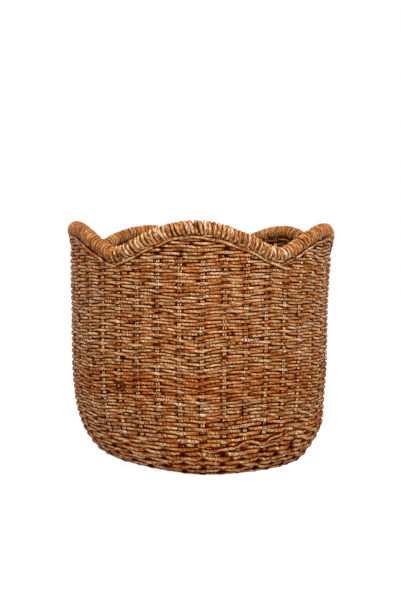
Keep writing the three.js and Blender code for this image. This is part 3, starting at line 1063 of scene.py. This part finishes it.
# Dried leaf: its browns are powers of an orange and a tan, paler below one and deeper above.
# Waves are counted in a metre along the leaf and in half the cord's size across it.
PALEST_POWER = 0.3
DEEPEST_POWER = 1.75
BROWN_SPAN = (0.37, 0.63)
PIECE_NOISE = ((9, 0.5, 0.5), {"Detail": 1})
PATCH_NOISE = ((85, 1.6, 1.6), {"Detail": 2})
STREAK_NOISE = ((300, 2.4, 2.4), {"Detail": 4, "Roughness": 0.8})
KIND_NOISE = ((5, 0.2, 0.2), {"Detail": 1})
KIND_SPAN = (0.35, 0.65)
PIECE_SHARE = 0.12
PATCH_SHARE = 0.22
STREAK_SHARE = 0.66
BAND_HEIGHT = 146 * MM
BAND_FADE_SPAN = (14 * MM, 24 * MM)
BAND_POWER = 0.14
BAND_ORANGE_SHARE = 0.5
GOLDEN_FADE_SPAN = (52 * MM, 72 * MM)
GOLDEN_SHARE = 0.7
GOLDEN_POWER = -0.23
# Strands are painted light and shade: a slanting wave of paler and deeper browns round the cord, strong
# only in places
STRAND_PITCH = 4.4 * MM
STRAND_COUNT = 3
STRAND_WANDER = 5
STRAND_BEND_NOISE = ((40, 1, 1), {"Detail": 1})
STRAND_PLACE_NOISE = ((16, 0.6, 0.6), {"Detail": 0})
STRAND_SPAN = (0.35, 0.6)
STRAND_PAINTED_LIGHT = 0.6
LEAF_LENGTH = 47 * MM
LEAF_SLANT_SHARE = 0.3
LEAF_POWER = 0.2
MIDDLE_CHANCE = 0.5
NICK_SHARE = 0.32
NICK_WIDTH_SHARE = 0.035
NICK_POWER = 4
# Creases are painted shade: dark slanting lines at some of their steps along the cord
CREASE_PITCH = 9 * MM
CREASE_SLANT_SHARE = 1.2
CREASE_SHARE = 0.5
CREASE_WIDTH_SHARE = 0.2
CREASE_PAINTED_SHADE = 1.4
CORD_TONE_POWER = 1.5
STRIP_TONE_POWER = 1.1

# Canes and rod, with waves in a metre too
FIBRE_NOISE = ((30, 3, 3), {"Detail": 3})
FIBRE_SPAN = (0.35, 0.6)
GRAIN_NOISE = ((60, 60, 60), {"Detail": 2})
GRAIN_SPAN = (0.35, 0.65)


def round_the_cord(look, leaf, length, slant_share):
    """Counts lengths along the cord, each starting on a line that slants round it"""
    split = look.node("ShaderNodeSeparateXYZ", {"Vector": leaf})
    spin = look.math("ARCTAN2", split.outputs["Z"], split.outputs["Y"])
    slant = look.math("MULTIPLY", spin, slant_share / TURN)
    return look.math("ADD", look.math("DIVIDE", split.outputs["X"], length), slant)


def chance_of(look, place):
    """A number from 0 to 1 that is the same all over each whole step of a place"""
    cell = look.math("FLOOR", place)
    return look.node("ShaderNodeTexWhiteNoise", {"W": cell}, noise_dimensions="1D").outputs["Value"]


def starting_lines(look, place, chosen_share, width_share):
    """One where some of the whole steps of a place start, fading to zero after it"""
    is_chosen = look.math("LESS_THAN", chance_of(look, place), chosen_share)
    line = look.spread(look.math("FRACT", place), 0, width_share, 1, 0)
    return look.math("MULTIPLY", is_chosen, line)


def strand_light_and_shade(look, leaf):
    """Painted light and shade of the cord's fine slanting strands, between -1 and 1, strong only in places
    """
    turns = round_the_cord(look, leaf, STRAND_PITCH, STRAND_COUNT)
    turns = look.plus(turns, look.noise(leaf, *STRAND_BEND_NOISE), STRAND_WANDER)
    wave = look.math("SINE", look.math("MULTIPLY", turns, TURN))
    place = look.noise(leaf, *STRAND_PLACE_NOISE)
    return look.math("MULTIPLY", wave, look.spread(place, *STRAND_SPAN, 0, 1))


def cord_marks(look, leaf):
    """Exponent of the marks that only a twisted cord has: leaf ends, painted shade in creases, and painted
    light and shade on its strands
    """
    leaves = round_the_cord(look, leaf, LEAF_LENGTH, LEAF_SLANT_SHARE)
    creases = round_the_cord(look, leaf, CREASE_PITCH, CREASE_SLANT_SHARE)
    chance = look.math("SUBTRACT", chance_of(look, leaves), MIDDLE_CHANCE)
    total = look.math("MULTIPLY", chance, LEAF_POWER)
    nicks = starting_lines(look, leaves, NICK_SHARE, NICK_WIDTH_SHARE)
    total = look.plus(total, nicks, NICK_POWER)
    creases = starting_lines(look, creases, CREASE_SHARE, CREASE_WIDTH_SHARE)
    total = look.plus(total, creases, CREASE_PAINTED_SHADE)
    return look.plus(total, strand_light_and_shade(look, leaf), STRAND_PAINTED_LIGHT)


def leaf_height(look):
    place = look.node("ShaderNodeTexCoord", {}).outputs["Object"]
    return look.node("ShaderNodeSeparateXYZ", {"Vector": place}).outputs["Z"]


def leaf_band(look, height):
    """One in the rows that were woven from a browner lot of leaf, zero elsewhere"""
    away = look.math("ABSOLUTE", look.math("SUBTRACT", height, BAND_HEIGHT))
    return look.spread(away, *BAND_FADE_SPAN, 1, 0)


def leaf_color(look, leaf, band, golden):
    """Tan leaf and orange leaf, with more of the orange in the band and low on the foot"""
    orange = look.math("MAXIMUM", look.math("MULTIPLY", band, BAND_ORANGE_SHARE), golden)
    kinds = look.spread(look.noise(leaf, *KIND_NOISE), *KIND_SPAN, 0, 1)
    tan = look.math("MAXIMUM", look.math("SUBTRACT", kinds, orange), 0)
    return look.mixed(tan, LEAF_ORANGE, LEAF_TAN)


def leaf_look(name, tone_power, is_cord):
    """Dried banana leaf: pieces of many browns, streaked along their length"""
    look = Look(name, *LEAF_SHEEN)
    leaf = look.attribute("leaf", "Vector")
    streaks = look.noise(leaf, *STREAK_NOISE)
    browns = look.math("MULTIPLY", look.noise(leaf, *PIECE_NOISE), PIECE_SHARE)
    browns = look.plus(browns, look.noise(leaf, *PATCH_NOISE), PATCH_SHARE)
    browns = look.plus(browns, streaks, STREAK_SHARE)
    height = leaf_height(look)
    band = leaf_band(look, height)
    golden = look.spread(height, *GOLDEN_FADE_SPAN, GOLDEN_SHARE, 0)
    exponent = look.spread(browns, *BROWN_SPAN, DEEPEST_POWER, PALEST_POWER)
    exponent = look.plus(exponent, band, BAND_POWER)
    exponent = look.plus(exponent, golden, GOLDEN_POWER)
    # The points' tone holds painted shade and highlights, along with the leaf's own darker places
    exponent = look.plus(exponent, look.attribute("tone", "Fac"), tone_power)
    if is_cord:
        exponent = look.math("ADD", exponent, cord_marks(look, leaf))
    color = leaf_color(look, leaf, band, golden)
    exponent = look.math("MAXIMUM", exponent, PALEST_POWER)
    look.surface({"Base Color": look.power(color, exponent)})
    look.bump(streaks, *LEAF_BUMP)
    return look.material


def cane_look(name):
    """Peeled cane with long fibres"""
    look = Look(name, *CANE_SHEEN)
    fibres = look.noise(look.attribute("leaf", "Vector"), *FIBRE_NOISE)
    look.surface({"Base Color": look.ramp(fibres, FIBRE_SPAN, (CANE_DEEP, CANE_PALE))})
    look.bump(fibres, *CANE_BUMP)
    return look.material


def rod_look():
    """The rod inside the rim, seen only between the strips"""
    look = Look("rod_wood", *ROD_SHEEN)
    place = look.node("ShaderNodeTexCoord", {}).outputs["Object"]
    grain = look.noise(place, *GRAIN_NOISE)
    look.surface({"Base Color": look.ramp(grain, GRAIN_SPAN, (LEAF_DARK, ROD_COLOR))})
    return look.material


# Floor, light and camera. Each lamp has its place and size in metres, and its power.
METRE = 1000 * MM
FLOOR_SIZE = 12 * METRE
FLOOR_DROP = 0.2 * MM
FLOOR_GREY = (0.5, 0.5, 0.5, 1)
FLOOR_SHEEN = (1, 0)
FLOOR_SHADOW_SHARE = 0.2
FLOOR_GLOW = 1.2
WORLD_STRENGTH = 0.4
LAMPS = (
    ("key", (0.8, -2.3, 1.75), 1, 91),
    ("fill", (-1.8, -1.3, 1.2), 1.6, 18),
    ("back_left", (-1.7, 1.5, 1.5), 1.4, 45),
    ("back_right", (1.7, 1.5, 1.5), 1.4, 45),
    ("top", (0, 0.3, 2.6), 1.2, 15)
)
CAMERA_PLACE = (-1.3 * MM, -1799 * MM, 361 * MM)
CAMERA_TILT_DEGREES = 87.02
CAMERA_LENS = 62.48
CAMERA_SENSOR = 36


def build_floor():
    half = FLOOR_SIZE / 2
    corners = [(-half, -half, 0), (half, -half, 0), (half, half, 0), (-half, half, 0)]
    mesh = bpy.data.meshes.new("floor")
    mesh.from_pydata(corners, [], [(0, 1, 2, 3)])
    mesh.materials.append(floor_material())
    floor = add_object("floor", mesh)
    floor.location.z = -FLOOR_DROP


def seen_rays(tree):
    """One where a ray comes from the camera, from a mirror or through glass"""
    path = add_node(tree, "ShaderNodeLightPath", {})
    total = path.outputs["Is Camera Ray"]
    for name in ("Is Glossy Ray", "Is Transmission Ray"):
        inputs = {0: total, 1: path.outputs[name]}
        total = add_node(tree, "ShaderNodeMath", inputs, operation="MAXIMUM").outputs[0]
    return total


def mix_surfaces(tree, share, first, second, output):
    """Shows the second surface for a share of the rays, and the first for the others"""
    inputs = {0: share, 1: first.outputs[0], 2: second.outputs[0]}
    mix = add_node(tree, "ShaderNodeMixShader", inputs)
    fill(tree, tree.nodes[output], {"Surface": mix.outputs[0]})


def floor_material():
    """White floor that still takes a faint shadow"""
    look = Look("floor_white", *FLOOR_SHEEN)
    look.surface({"Base Color": FLOOR_GREY})
    glow = look.node("ShaderNodeEmission", {"Strength": FLOOR_GLOW})
    share = look.math("MULTIPLY", seen_rays(look.tree), 1 - FLOOR_SHADOW_SHARE)
    mix_surfaces(look.tree, share, look.shader, glow, "Material Output")
    return look.material


def build_world():
    world = bpy.data.worlds.new("studio")
    bpy.context.scene.world = world
    world.use_nodes = True
    tree = world.node_tree
    light = tree.nodes["Background"]
    fill(tree, light, {"Color": WHITE, "Strength": WORLD_STRENGTH})
    white = add_node(tree, "ShaderNodeBackground", {"Color": WHITE})
    mix_surfaces(tree, seen_rays(tree), light, white, "World Output")


def add_lamp(name, place, size, power):
    light = bpy.data.lights.new(name, "AREA")
    light.size = size * METRE
    light.energy = power
    lamp = add_object(name, light)
    place = np.array(place) * METRE
    lamp.location = place
    ahead = unit(np.array([0, 0, RIM_PEAK_HEIGHT / 2]) - place)
    lamp.rotation_euler = (math.acos(-ahead[2]), 0, math.atan2(ahead[0], -ahead[1]) + math.pi)


def build_camera():
    data = bpy.data.cameras.new("camera")
    data.lens = CAMERA_LENS
    data.sensor_width = CAMERA_SENSOR
    camera = add_object("camera", data)
    camera.location = CAMERA_PLACE
    camera.rotation_euler = (math.radians(CAMERA_TILT_DEGREES), 0, 0)
    bpy.context.scene.camera = camera


# Assembly
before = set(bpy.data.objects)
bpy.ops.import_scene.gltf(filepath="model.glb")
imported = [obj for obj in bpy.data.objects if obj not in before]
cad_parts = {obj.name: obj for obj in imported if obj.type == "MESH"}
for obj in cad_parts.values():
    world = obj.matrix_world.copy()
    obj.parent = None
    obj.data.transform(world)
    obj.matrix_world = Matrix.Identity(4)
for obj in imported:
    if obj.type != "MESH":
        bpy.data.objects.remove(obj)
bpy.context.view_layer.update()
weave = leaf_look("leaf_cord", CORD_TONE_POWER, is_cord=True)
wrap = leaf_look("leaf_strip", STRIP_TONE_POWER, is_cord=False)
canes = cane_look("stake_cane")
base_canes = cane_look("base_cane")
build_rows(weave)
build_base_rings(weave)
build_shade_sheet(weave)
for number in range(STAKE_COUNT):
    build_stake(number, canes)
for number in range(2 * BASE_CANES_PER_SET):
    build_base_cane(number, base_canes)
build_strips(wrap)
build_edge_cords(weave)
build_stray_cord(weave)
build_knot(weave)
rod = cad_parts["rim_rod"]
rod.data.materials.clear()
rod.data.materials.append(rod_look())
build_floor()
build_world()
for lamp in LAMPS:
    add_lamp(*lamp)
build_camera()
bpy.context.scene.view_settings.view_transform = "Standard"
